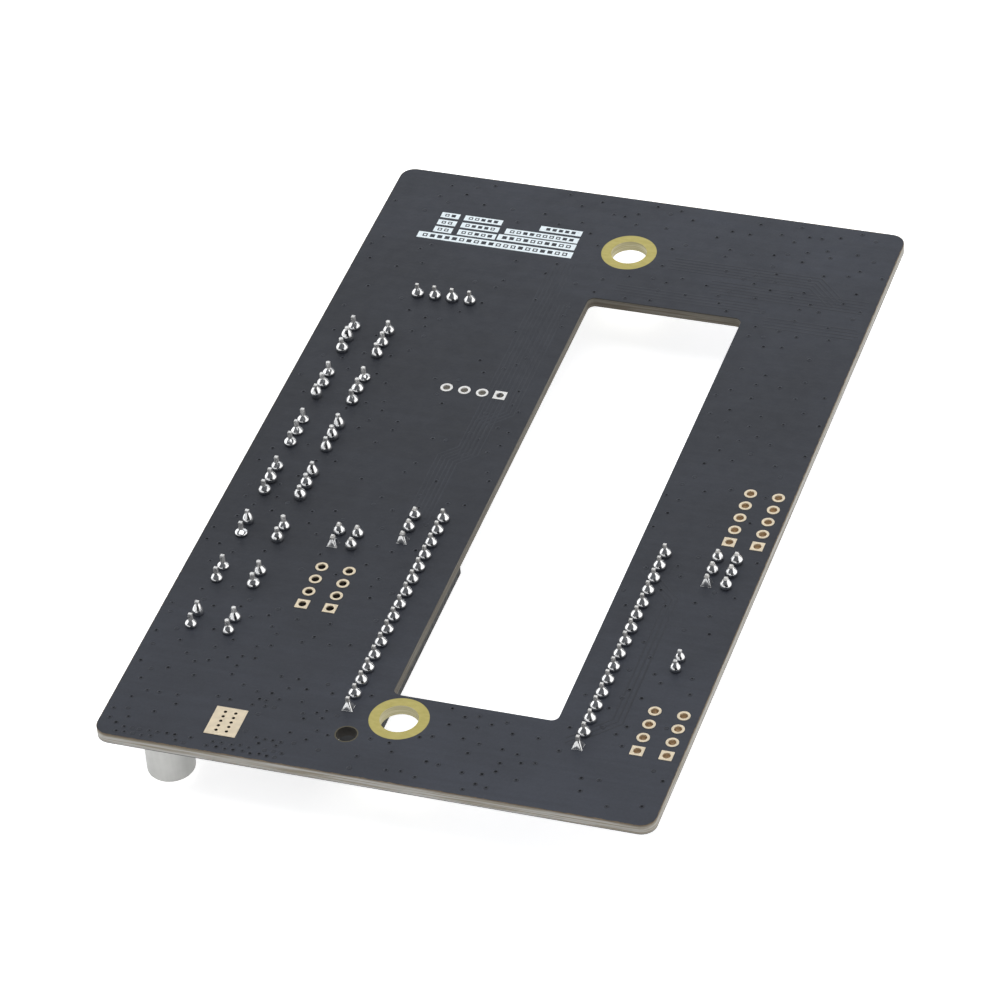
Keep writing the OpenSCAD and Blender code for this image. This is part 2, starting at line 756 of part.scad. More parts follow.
module moulded_body(w, l, low, high) {
    intersection() {
        along_y(drafted(w, low, high, 2 * lead_t), l);
        along_x(drafted(l, low, high, 2 * lead_t), w);
    }
}

module chip_body(point) {
    color("#2a2a2d")
    under() translate(point)
    difference() {
        moulded_body(chip_w, chip_l, chip_standoff, chip_h);
        translate([-chip_w / 4, chip_l / 2 - chip_w / 4, chip_h - lead_t / 2])
            cylinder(d = chip_w / 6, h = cut, $fn = 24);
    }
}

module chip_leads(points) {
    knee = chip_w / 2 + chip_lead_l * 0.4;
    toe = chip_w / 2 + chip_lead_l;
    gull_wing = [
        [chip_w / 2, lead_z], [knee - lead_t / 2, lead_z], [knee + lead_t / 2, lead_t / 2], [toe, lead_t / 2]
    ];
    color("#c4c5c2")
    under() at(points)
        for (turn = [0, 180], k = [-1.5 : 1.5])
            rotate([0, 0, turn]) translate([0, k * chip_pitch, 0]) along_y(strip(gull_wing, lead_t), lead_w);
}

module regulator_body() {
    chip_body([regulator_x, regulator_y, 0]);
}

module transceiver_body(i) {
    chip_body([chip_x, chip_y(i), 0]);
}

// Shielded inductor block, its edges cut where the winding ends leave it
inductor_cut = 1;

module inductor_core() {
    s = inductor_w / 2;
    c = s - inductor_cut;
    color("#3a3a3c")
    under() translate([regulator_x, inductor_y, tab_t])
    difference() {
        linear_extrude(inductor_h - tab_t)
            polygon([[s, -c], [s, c], [c, s], [-c, s], [-s, c], [-s, -c], [-c, -s], [c, -s]]);
        translate([0, 0, inductor_h - 2 * tab_t])
            cylinder(d = inductor_w - 2 * inductor_cut, h = cut, $fn = 48);
    }
}

module diode_body() {
    moulded_body(diode_w, diode_l, tab_t, diode_h);
}

module rectifier_diode() {
    color("#2a2a2d") under() at(rectifier_points) diode_body();
}

module surge_diodes() {
    color("#2a2a2d") under() at(surge_points) diode_body();
}

// Flat tabs under the diodes and the inductor
module solder_tabs() {
    diode_tab_w = diode_w * 0.55;
    diode_tab_l = diode_l * 0.3;
    inductor_tab_w = inductor_w * 0.4;
    inductor_tab_inset = 0.1;
    color("#c4c5c2")
    under() {
        at(concat(rectifier_points, surge_points))
            for (turn = [0, 180]) rotate([0, 0, turn])
                translate([-diode_tab_w / 2, diode_l / 2 + tab_reach - diode_tab_l, 0])
                    cube([diode_tab_w, diode_tab_l, tab_t]);
        translate([regulator_x, inductor_y, 0])
            for (turn = [0, 180]) rotate([0, 0, turn]) translate([inductor_w / 4, -inductor_tab_w / 2, 0])
                cube([inductor_w / 4 - inductor_tab_inset, inductor_tab_w, tab_t]);
    }
}

// Chip resistors lie along Y and chip capacitors along X, each body between two plated ends
module passive_core(h, turn) {
    rotate([0, 0, turn]) translate([-passive_w / 2, end_cap_l - passive_l / 2, 0])
        cube([passive_w, passive_l - 2 * end_cap_l, h]);
}

module passive_ends(h, turn) {
    for (y = [-passive_l / 2, passive_l / 2 - end_cap_l])
        rotate([0, 0, turn]) translate([-passive_w / 2, y, 0]) cube([passive_w, end_cap_l, h]);
}

module chip_resistors() {
    color("#222326") under() at(resistor_points) passive_core(resistor_h, 0);
}

module chip_capacitors() {
    color("#a08a68") under() at(capacitor_points) passive_core(ceramic_h, 90);
}

module chip_end_caps() {
    color("#c4c5c2")
    under() {
        at(resistor_points) passive_ends(resistor_h, 0);
        at(capacitor_points) passive_ends(ceramic_h, 90);
    }
}

circuit_board();
footprint(left_pad_points, front_pair(left_pad_points));  // left_pads
footprint(rear_pad_points, front_pair(rear_pad_points));  // rear_right_pads
footprint(front_pad_points, front_pair(front_pad_points));  // front_right_pads
footprint(centre_pad_points, [centre_pad_points[3]]);  // centre_pads
heat_pad();
host_socket_housing(left_socket_x);  // left_socket_housing
socket_contacts(left_socket_points);  // left_socket_contacts
host_socket_housing(right_socket_x);  // right_socket_housing
socket_contacts(right_socket_points);  // right_socket_contacts
terminal_housing(0);  // terminal_1_housing
terminal_housing(1);  // terminal_2_housing
terminal_housing(2);  // terminal_3_housing
terminal_housing(3);  // terminal_4_housing
terminal_housing(4);  // terminal_5_housing
terminal_housing(5);  // terminal_6_housing
terminal_housing(6);  // terminal_7_housing
terminal_clamps(0);  // terminal_1_clamps
terminal_clamps(1);  // terminal_2_clamps
terminal_clamps(2);  // terminal_3_clamps
terminal_clamps(3);  // terminal_4_clamps
terminal_clamps(4);  // terminal_5_clamps
terminal_clamps(5);  // terminal_6_clamps
terminal_clamps(6);  // terminal_7_clamps
display_socket_housing();
display_socket_contacts();
header_base(jumper_points);  // jumper_block_base
header_pins(jumper_points);  // jumper_block_pins
header_base(selector_points);  // selector_header_base
header_pins(selector_points);  // selector_header_pins
header_base(signal_points);  // signal_header_base
header_pins(signal_points);  // signal_header_pins
battery_connector_shell();
battery_connector_pins();
capacitor_base();
capacitor_can();
capacitor_leads();
regulator_body();
chip_leads([[regulator_x, regulator_y]]);  // regulator_leads
transceiver_body(0);  // transceiver_1_body
transceiver_body(1);  // transceiver_2_body
transceiver_body(2);  // transceiver_3_body
transceiver_body(3);  // transceiver_4_body
chip_leads(chip_points);  // transceiver_leads
inductor_core();
rectifier_diode();
surge_diodes();
solder_tabs();
chip_resistors();
chip_capacitors();
chip_end_caps();
solder(left_socket_points, pin_drill, tail_w, socket_drop_h, solder_vary, [left_socket_points[0]]);  // left_socket_solder
solder(right_socket_points, pin_drill, tail_w, socket_drop_h, solder_vary, [right_socket_points[0]]);  // right_socket_solder
solder(  // terminal_solder
        terminal_points, terminal_drill, terminal_pin_w, terminal_tail * terminal_climb, terminal_solder_vary
    );
solder(display_points, pin_drill, tail_w, socket_drop_h, solder_vary);  // display_socket_solder
solder(  // header_solder
        header_points, pin_drill, pin_w, header_drop_h, solder_vary,
        [jumper_points[0], selector_points[0], signal_points[0]]
    );
solder(battery_points, battery_drill, battery_pin_w, header_drop_h, solder_vary);  // battery_connector_solder
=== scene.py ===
import json
import math
import random

import bmesh
import bpy
from mathutils import Matrix, Vector

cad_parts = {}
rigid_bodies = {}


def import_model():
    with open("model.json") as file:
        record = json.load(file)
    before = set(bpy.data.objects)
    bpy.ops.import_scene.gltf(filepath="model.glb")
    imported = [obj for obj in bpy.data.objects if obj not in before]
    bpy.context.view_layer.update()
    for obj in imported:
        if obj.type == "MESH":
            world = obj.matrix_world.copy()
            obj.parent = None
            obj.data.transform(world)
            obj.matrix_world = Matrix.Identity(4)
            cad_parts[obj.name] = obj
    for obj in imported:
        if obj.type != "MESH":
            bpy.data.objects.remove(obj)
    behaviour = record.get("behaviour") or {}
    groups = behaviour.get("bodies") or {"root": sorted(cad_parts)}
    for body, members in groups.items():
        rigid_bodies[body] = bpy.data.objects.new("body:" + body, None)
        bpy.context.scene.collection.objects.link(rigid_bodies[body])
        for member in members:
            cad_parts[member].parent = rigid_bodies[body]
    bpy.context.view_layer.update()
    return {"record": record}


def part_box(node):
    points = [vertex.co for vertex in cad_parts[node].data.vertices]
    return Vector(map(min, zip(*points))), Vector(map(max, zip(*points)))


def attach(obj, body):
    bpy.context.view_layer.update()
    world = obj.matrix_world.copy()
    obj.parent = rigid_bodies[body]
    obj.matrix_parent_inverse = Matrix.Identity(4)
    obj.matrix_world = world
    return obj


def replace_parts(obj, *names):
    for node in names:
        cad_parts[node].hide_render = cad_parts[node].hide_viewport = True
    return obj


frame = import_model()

MM = 0.001

# Every random choice is drawn from this one seeded source, in the order of the file
chance = random.Random(7)

# The board, in millimetres of the part's frame
BOARD_LOW, BOARD_HIGH = (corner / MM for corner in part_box("circuit_board"))
TOP = BOARD_HIGH.z
CORNER_R = 2.0
MASK_PULLBACK = 0.09
HOLES = ((0.21, 49.7), (0.21, -50.3))
HOLE_WALL_R = 2.6
RING_R = 3.88
LOCATING_HOLE = (-5.35, -54.6)
LOCATING_R = 1.35
LOCATING_ROOM = ((-6.9, -56.2), (-3.8, -53.0))
WINDOW = ((-2.18, -46.02), (19.82, 38.7))

# Print and fine copper, in millimetres
VIA_R = 0.36
VIA_CREST = 0.03
VIA_EYE_R = 0.16
VIA_SIDES = 14
VIA_MARGIN = 0.6
DARK_VIAS = 0.85
STITCH = 1.15
STITCH_MARGIN = 0.5
TRACE_W = 0.3
TRACE_H = 0.014
INK_H = 0.02
MARK_H = 0.006
SUNK = 0.01

# Solder: share of a round drop's height, and its width there
TURNIP = (
    (0.0, 0.86), (0.07, 0.93), (0.15, 0.98), (0.24, 1.0), (0.33, 0.985), (0.43, 0.925),
    (0.54, 0.8), (0.66, 0.62), (0.77, 0.43), (0.87, 0.24), (0.95, 0.09), (1.0, 0.0),
)
INNER_TAILS_X = -29.5
COATED_INNER = 0.75
COATED_ANY = 0.2

# Seen from above, a round body reaches half its width from its middle, and a square one 0.7 of it
SQUARE_REACH = 0.62

# The photograph's camera, aimed at a point on the board's top face
AIM = Vector((-0.69, -6.12, 10.0)) * MM
DISTANCE = 705.67 * MM
AZIMUTH = math.radians(21.041)
ELEVATION = math.radians(39.438)
ROLL = math.radians(-4.881)
LENS = 192.31
SENSOR = 36.0
FLOOR_DROP = 0.05 * MM


class Surface:
    """A procedural material: the shader's own values, and textures laid out in millimetres of the part."""

    def __init__(self, name, values):
        self.material = bpy.data.materials.new(name)
        self.material.use_nodes = True
        self.tree = self.material.node_tree
        self.shader = self.tree.nodes["Principled BSDF"]
        for socket, value in values.items():
            self.shader.inputs[socket].default_value = value
        self.place = self.vector("SCALE", self.node("ShaderNodeTexCoord").outputs["Object"])
        self.place.node.inputs["Scale"].default_value = 1 / MM

    def node(self, kind, **settings):
        made = self.tree.nodes.new(kind)
        for setting, value in settings.items():
            setattr(made, setting, value)
        return made

    def feed(self, socket, value):
        """A link where value is another node's output, and a constant where it is not."""
        if isinstance(value, bpy.types.NodeSocket):
            self.tree.links.new(value, socket)
        else:
            socket.default_value = value

    def math(self, operation, a, b=0.0):
        made = self.node("ShaderNodeMath", operation=operation)
        self.feed(made.inputs[0], a)
        self.feed(made.inputs[1], b)
        return made.outputs[0]

    def vector(self, operation, a, b=None):
        made = self.node("ShaderNodeVectorMath", operation=operation)
        self.feed(made.inputs[0], a)
        if b is not None:
            self.feed(made.inputs[1], b)
        return made.outputs["Value" if operation in ("DISTANCE", "LENGTH") else "Vector"]

    def parts(self, vector):
        made = self.node("ShaderNodeSeparateXYZ")
        self.feed(made.inputs[0], vector)
        return made.outputs

    def step(self, value, low, high, to_low=0.0, to_high=1.0):
        """value carried smoothly from low..high to to_low..to_high."""
        made = self.node("ShaderNodeMapRange", interpolation_type="SMOOTHSTEP")
        for socket, number in zip(made.inputs[1:5], (low, high, to_low, to_high)):
            socket.default_value = number
        self.feed(made.inputs[0], value)
        return made.outputs[0]

    def noise(self, per_mm, detail=3.0, stretch=(1, 1, 1)):
        """A soft texture, about 0 to 1, with the given number of grains to the millimetre."""
        made = self.node("ShaderNodeTexNoise")
        made.inputs["Scale"].default_value = per_mm
        made.inputs["Detail"].default_value = detail
        self.feed(made.inputs["Vector"], self.vector("MULTIPLY", self.place, stretch))
        return made.outputs["Fac"]

    def wander(self, per_mm, low, high, detail=3.0, stretch=(1, 1, 1)):
        """A soft texture that runs from low to high."""
        return self.step(self.noise(per_mm, detail, stretch), 0.3, 0.7, low, high)

    def blend(self, factor, a, b):
        made = self.node("ShaderNodeMix", data_type="RGBA")
        self.feed(made.inputs["Factor"], factor)
        self.feed(made.inputs[6], a)
        self.feed(made.inputs[7], b)
        return made.outputs[2]

    def shade(self, colour, amount):
        """colour made lighter and darker by amount, a texture about 1."""
        made = self.vector("SCALE", colour)
        self.feed(made.node.inputs["Scale"], amount)
        return made

    def bump(self, height, rise_mm):
        made = self.node("ShaderNodeBump")
        made.inputs["Distance"].default_value = rise_mm * MM
        self.feed(made.inputs["Height"], height)
        self.feed(self.shader.inputs["Normal"], made.outputs["Normal"])

    def finish(self, colour, roughness=None):
        self.feed(self.shader.inputs["Base Color"], colour)
        if roughness is not None:
            self.feed(self.shader.inputs["Roughness"], roughness)
        return self.material


def rgb(red, green, blue):
    return (red, green, blue, 1.0)


MASK_GLOSS = {"Specular IOR Level": 0.34, "Coat Weight": 0.03, "Coat Roughness": 0.2}


def masked_laminate():
    """Slate-grey solder mask on the faces, bare glass-epoxy on the edges, the rim and two hole rings, with
    painted light on the mask and painted shade on the walls of the openings and the locating hole.
    """
    s = Surface("masked_laminate", MASK_GLOSS)
    x, y, z = s.parts(s.place)
    flat = s.vector("MULTIPLY", s.place, (1, 1, 0))
    upright = s.parts(s.node("ShaderNodeNewGeometry").outputs["Normal"])[2]
    face = s.math("GREATER_THAN", s.math("ABSOLUTE", upright), 0.5)

    # Mask: a faint cloud of pour edges, long streaks across the board and a fine grain, with painted light that
    # makes it paler at both ends and toward the right, as the room's light falls
    cloud = s.wander(0.09, 0.9, 1.12, 4.0)
    streak = s.wander(0.9, 0.94, 1.06, 3.0, (0.035, 1.0, 1.0))
    grain = s.step(s.noise(2.6, 2.0), 0.25, 0.75, 0.95, 1.05)
    off_middle = s.math("ABSOLUTE", s.math("SUBTRACT", y, 8.0))
    along = s.step(off_middle, 16.0, 62.0, 0.84, 1.24)
    across = s.step(x, -36.0, 36.0, 0.94, 1.15)
    painted_lighting = s.math("MULTIPLY", along, across)
    tone = s.math("MULTIPLY", s.math("MULTIPLY", cloud, streak), s.math("MULTIPLY", grain, painted_lighting))
    mask = s.shade((0.0235, 0.027, 0.037), tone)

    # Laminate: cream resin with glass layers along the outline, brown under the mask
    layers = s.noise(1.0, 4.0, (0.12, 0.12, 7.0))
    edge = s.blend(s.step(layers, 0.36, 0.62), rgb(0.20, 0.175, 0.13), rgb(0.38, 0.373, 0.352))
    edge = s.blend(s.step(z, TOP - 0.34, TOP - 0.06), edge, rgb(0.13, 0.10, 0.065))
    edge = s.blend(s.step(z, BOARD_LOW.z + 0.16, BOARD_LOW.z + 0.05), edge, rgb(0.09, 0.09, 0.095))

    # Walls in every opening painted darker as painted shade in the recess, with a near-black painted shadow
    # along their top under the mask's edge; reach is CORNER_R on the outline and less inside it
    inset = s.vector("SUBTRACT", s.vector("ABSOLUTE", flat),
                     (BOARD_HIGH.x - CORNER_R, BOARD_HIGH.y - CORNER_R, 0))
    reach = s.vector("LENGTH", s.vector("MAXIMUM", inset, (0, 0, 0)))
    painted_shade_walls = s.blend(s.step(layers, 0.35, 0.65), rgb(0.085, 0.07, 0.052), rgb(0.15, 0.14, 0.115))
    painted_shade_walls = s.blend(s.step(z, TOP - 0.22, TOP - 0.08), painted_shade_walls, rgb(0.03, 0.028, 0.024))
    edge = s.blend(s.math("LESS_THAN", reach, CORNER_R - 0.5), edge, painted_shade_walls)

    # Bare resin around the mounting holes, with the weave of the glass under it
    away = s.math("MINIMUM", *(s.vector("DISTANCE", flat, hole + (0,)) for hole in HOLES))
    weave = s.noise(0.8, 2.0, (1.0, 2.2, 1.0))
    ring = s.blend(s.step(weave, 0.25, 0.75), rgb(0.455, 0.395, 0.11), rgb(0.52, 0.45, 0.145))
    bore = s.blend(s.step(layers, 0.3, 0.7), rgb(0.42, 0.38, 0.20), rgb(0.62, 0.58, 0.40))
    edge = s.blend(s.math("LESS_THAN", away, HOLE_WALL_R), edge, bore)
    bare = s.step(away, RING_R + 0.04, RING_R - 0.04)

    # The locating hole: its wall painted near-black as painted shade inside the hole, and an olive lip where
    # the mask is drawn back
    beside = s.vector("DISTANCE", flat, LOCATING_HOLE + (0,))
    edge = s.blend(s.math("LESS_THAN", beside, LOCATING_R + 0.1), edge, rgb(0.016, 0.0135, 0.01))
    lip = s.step(beside, LOCATING_R + 0.22, LOCATING_R + 0.12)

    # A hair of bare resin along the outline, where the mask stops short
    ragged = s.math("ADD", reach, s.wander(1.3, -0.05, 0.05))
    rim = s.step(ragged, CORNER_R - MASK_PULLBACK, CORNER_R - MASK_PULLBACK + 0.03)
    scorched = s.blend(s.step(s.noise(0.7), 0.4, 0.6), rgb(0.075, 0.055, 0.038), rgb(0.17, 0.125, 0.07))
    top = s.blend(rim, s.blend(bare, mask, ring), scorched)
    top = s.blend(lip, top, rgb(0.085, 0.075, 0.045))

    rough = s.wander(0.5, 0.42, 0.52)
    s.bump(s.noise(1.7, 4.0), 0.02)
    return s.finish(s.blend(face, edge, top), s.math("MAXIMUM", rough, s.math("SUBTRACT", 0.8, face)))


def mask_relief():
    """The same mask where it runs over a trace or a via."""
    s = Surface("mask_relief", MASK_GLOSS)
    s.bump(s.noise(1.7, 4.0), 0.01)
    tone = s.wander(0.2, 0.9, 1.1)
    return s.finish(s.shade((0.0240, 0.0275, 0.037), tone), s.wander(0.5, 0.40, 0.5))


def via_eye():
    """The dark dip in the mask over a via's drill."""
    s = Surface("via_eye", {"Specular IOR Level": 0.12})
    return s.finish(s.shade((0.004, 0.0045, 0.006), s.wander(3.0, 0.7, 1.3)), s.wander(2.0, 0.5, 0.7))


def ink():
    """White print: slightly open where it lies over the mask's grain."""
    s = Surface("white_ink", {"Specular IOR Level": 0.35})
    worn = s.step(s.noise(2.2, 4.0), 0.28, 0.48, 0.82, 1.0)
    s.bump(s.noise(4.0, 2.0), 0.008)
    return s.finish(s.shade((0.86, 0.95, 0.99), worn), s.wander(3.0, 0.5, 0.65))


def metal(name, colour, rough, grain_mm, per_mm=1.6, metallic=1.0):
    """Plated or soldered metal: tone and gloss wander a little, and the skin has small waves."""
    s = Surface(name, {"Metallic": metallic})
    s.bump(s.noise(per_mm), grain_mm)
    tone = s.wander(per_mm * 0.6, 0.92, 1.032)
    return s.finish(s.shade(colour, tone), s.wander(per_mm * 1.4, rough * 0.7, rough * 1.3))


def plated_pad(name, colour, bore):
    """A pad's bright ring, and the wall of its hole painted in the bore colour as painted shade, away from both
    faces.
    """
    s = Surface(name, {"Metallic": 0.5})
    s.bump(s.noise(1.6), 0.01)
    # Painted shade: the bore colour fills the hole's wall except near the top and bottom faces
    half = (TOP - BOARD_LOW.z) / 2
    off_middle = s.math("ABSOLUTE", s.math("SUBTRACT", s.parts(s.place)[2], TOP - half))
    shaded_barrel = s.step(off_middle, half - 0.02, half - 0.3)
    tone = s.wander(1.0, 0.92, 1.03)
    return s.finish(s.blend(shaded_barrel, s.shade(colour, tone), bore), s.wander(2.0, 0.294, 0.546))


def plastic(name, colour, rough, grain_mm=0.01, level=0.45):
    """Moulded plastic: an eroded mould's grain, and a faint cloud in the colour."""
    s = Surface(name, {"Specular IOR Level": level})
    s.bump(s.noise(5.0, 2.0), grain_mm)
    cloud = s.wander(0.35, 0.9, 1.1, 4.0)
    return s.finish(s.shade(colour, cloud), s.wander(1.5, rough * 0.85, rough * 1.15))


def brushed_can():
    """Drawn aluminium: fine lines up the wall, dulled by its clear film."""
    s = Surface("can_aluminium", {"Metallic": 0.75})
    lines = s.noise(3.0, 3.0, (1.0, 1.0, 0.06))
    s.bump(lines, 0.003)
    tone = s.step(lines, 0.3, 0.7, 0.98, 1.02)
    return s.finish(s.shade((0.46, 0.46, 0.445), tone), s.wander(0.8, 0.5, 0.6))


FINISHES = {
    "masked_laminate": masked_laminate(),
    # The plated copper's bore colour is painted shade inside its holes
    "plated_copper": plated_pad("plated_copper", (0.80, 0.69, 0.51), rgb(0.48, 0.34, 0.2)),
    "black_plastic": plastic("black_plastic", (0.014, 0.015, 0.016), 0.55, level=0.25),
    "grey_plastic": plastic("grey_plastic", (0.24, 0.25, 0.26), 0.48),
    "natural_plastic": plastic("natural_plastic", (0.70, 0.66, 0.56), 0.42),
    "contact_metal": metal("contact_metal", (0.80, 0.79, 0.765), 0.34, 0.006, metallic=0.65),
    "tinned_metal": metal("tinned_metal", (0.78, 0.78, 0.77), 0.34, 0.006, metallic=0.65),
    "solder": metal("solder", (0.76, 0.765, 0.77), 0.15, 0.004, 1.3),
    "can_aluminium": brushed_can(),
    "moulded_epoxy": plastic("moulded_epoxy", (0.022, 0.022, 0.024), 0.58, 0.014),
    "ferrite": plastic("ferrite", (0.055, 0.053, 0.052), 0.66, 0.02),
    "ceramic": plastic("ceramic", (0.36, 0.27, 0.18), 0.4),
}
PAD_FINISHES = {
    # Bore colours here are painted shade inside the holes: near-black for the left pads, grey for the centre
    # pads
    "left_pads": plated_pad("copper_with_shaded_bore", (0.80, 0.69, 0.51), rgb(0.028, 0.018, 0.011)),
    "centre_pads": plated_pad("tinned_pads", (0.84, 0.83, 0.81), rgb(0.42, 0.40, 0.36)),
}
RELIEF = mask_relief()

for part in frame["record"]["subparts"]:
    solid = bpy.data.objects[part["node"]]
    finish = PAD_FINISHES.get(part["node"], FINISHES[part["material_slot"]])
    solid.data.materials.clear()
    solid.data.materials.append(finish)


def stand(name, data):
    """An object that shows data, put in the scene."""
    made = bpy.data.objects.new(name, data)
    bpy.context.scene.collection.objects.link(made)
    return made


def piece(name, mesh, slot_name, *finishes):
    """A mesh in millimetres, made a piece of the part that rides on its one body."""
    data = bpy.data.meshes.new(name)
    bmesh.ops.recalc_face_normals(mesh, faces=mesh.faces)
    mesh.transform(Matrix.Scale(MM, 4))
    mesh.to_mesh(data)
    mesh.free()
    made = stand(name, data)
    for finish in finishes:
        data.materials.append(finish)
    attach(made, "root")
    return made


def skin(mesh, rings):
    """The faces between each ring of vertices and the next, as one list to each pair of rings."""
    bands = []
    for low, high in zip(rings, rings[1:]):
        bands.append([mesh.faces.new((low[i - 1], low[i], high[i], high[i - 1])) for i in range(len(low))])
    return bands


def islands(node):
    """The box of each separate body of a solid, in millimetres, and whether it is square from above."""
    mesh = bmesh.new()
    mesh.from_mesh(bpy.data.objects[node].data)
    bmesh.ops.remove_doubles(mesh, verts=mesh.verts, dist=1e-7)
    seen, boxes = set(), []
    for first in mesh.verts:
        if first in seen:
            continue
        group, queue = [], [first]
        seen.add(first)
        while queue:
            vert = queue.pop()
            group.append(vert.co / MM)
            for other in (edge.other_vert(vert) for edge in vert.link_edges):
                if other not in seen:
                    seen.add(other)
                    queue.append(other)
        low, high = (Vector(limit(p[i] for p in group) for i in range(3)) for limit in (min, max))
        middle = (low + high) / 2
        reach = max((p - middle).xy.length for p in group)
        boxes.append((low, high, reach > SQUARE_REACH * (high.x - low.x)))
    mesh.free()
    return boxes


# What the vias keep clear of
JOINTS = ("left_socket_solder", "right_socket_solder", "terminal_solder", "display_socket_solder",
          "header_solder", "battery_connector_solder")
PADS = ("left_pads", "rear_right_pads", "front_right_pads", "centre_pads", "heat_pad")
LABELS = (
    (-28.3, 51.7, -25.6, 52.9), (-24.85, 51.7, -19.25, 52.9), (-13.65, 51.7, -7.5, 52.9),
    (-28.3, 50.0, -25.55, 51.2), (-24.8, 50.0, -19.2, 51.2), (-18.25, 50.0, -7.5, 51.25),
    (-28.3, 48.3, -25.6, 49.55), (-24.75, 48.3, -19.15, 49.55), (-18.9, 48.4, -7.45, 49.75),
    (-30.15, 46.55, -7.35, 47.95),
)
TAKEN = [box[:2] for node in JOINTS + PADS for box in islands(node)]
TAKEN += [WINDOW, LOCATING_ROOM]
TAKEN += [((low_x, low_y), (high_x, high_y)) for low_x, low_y, high_x, high_y in LABELS]


def free(x, y, margin):
    """Whether a spot on the top face is clear of the outline, the openings, the print and the solder."""
    if abs(x) > BOARD_HIGH.x - margin or abs(y) > BOARD_HIGH.y - margin:
        return False
    if any(math.hypot(x - hole_x, y - hole_y) < RING_R + margin for hole_x, hole_y in HOLES):
        return False
    return not any(low[0] - margin < x < high[0] + margin and low[1] - margin < y < high[1] + margin
                   for low, high in TAKEN)


def strew(low, high, count, apart):
    """At most count vias at random in a box, no two closer than apart."""
    placed = 0
    for _ in range(count * 40):
        x, y = chance.uniform(low[0], high[0]), chance.uniform(low[1], high[1])
        if free(x, y, VIA_MARGIN) and all(math.hypot(x - a, y - b) > apart for a, b in spots):
            spots.append((x, y))
            placed += 1
            if placed == count:
                return


def crater(mesh, x, y):
    """A tented via: the mask rises over its ring and dips over its drill, most often to a dark eye."""
    crest = VIA_CREST * chance.uniform(0.5, 1.1)
    eye_r = VIA_EYE_R * chance.uniform(0.6, 1.2)
    dark = chance.random() < DARK_VIAS
    angles = [math.tau * i / VIA_SIDES for i in range(VIA_SIDES)]
    rings = []
    for radius, height in ((VIA_R, -SUNK), (VIA_R, 0.0), (VIA_R * 0.72, crest), (eye_r, crest * 0.45)):
        rings.append([mesh.verts.new((x + radius * math.cos(a), y + radius * math.sin(a), TOP + height))
                      for a in angles])
    mesh.faces.new(rings[0][::-1])
    for level, band in enumerate(skin(mesh, rings)):
        for made in band:
            made.smooth = level > 0
    eye = mesh.verts.new((x, y, TOP + crest * 0.25))
    for i in range(VIA_SIDES):
        made = mesh.faces.new((rings[-1][i - 1], rings[-1][i], eye))
        made.material_index = int(dark)
        made.smooth = True


# Vias: stitched in double rows along the front edge and beside the power stage, and strewn over the rest
spots = []
for x_low, x_high, y_low in ((-34.0, -23.2, -60.9), (-21.8, -10.6, -60.85), (-16.8, -12.0, -58.9)):
    for row in range(2):
        for i in range(int((x_high - x_low) / STITCH)):
            x = x_low + STITCH * (i + 0.5 * row) + chance.uniform(-0.15, 0.15)
            y = y_low + row + chance.uniform(-0.12, 0.12)
            if free(x, y, STITCH_MARGIN) and chance.random() < 0.88:
                spots.append((x, y))
strew((-36.0, -60.0), (-33.8, -56.5), 4, 0.9)
strew((-19.2, -52.5), (-15.3, -49.5), 8, 0.9)
strew((-12.5, -58.0), (-9.0, -51.0), 9, 1.0)
strew((-36.0, -61.0), (-8.0, -10.0), 95, 1.6)
strew((-36.0, -10.0), (-3.0, 61.0), 110, 1.7)
strew((-3.0, 39.0), (36.5, 61.0), 75, 1.6)
strew((20.0, -61.0), (36.5, 39.0), 90, 1.7)
strew((-8.0, -61.0), (20.0, -46.5), 40, 1.5)
vias = bmesh.new()
for x, y in spots:
    crater(vias, x, y)
piece("tented_vias", vias, "masked_laminate", RELIEF, via_eye())


def turnip(t):
    """Width of a round drop at a share of its height: widest near the foot, and straight up to the pin."""
    for (low, wide), (high, narrow) in zip(TURNIP, TURNIP[1:]):
        if t <= high:
            return wide + (narrow - wide) * (t - low) / (high - low)
    return 0.0


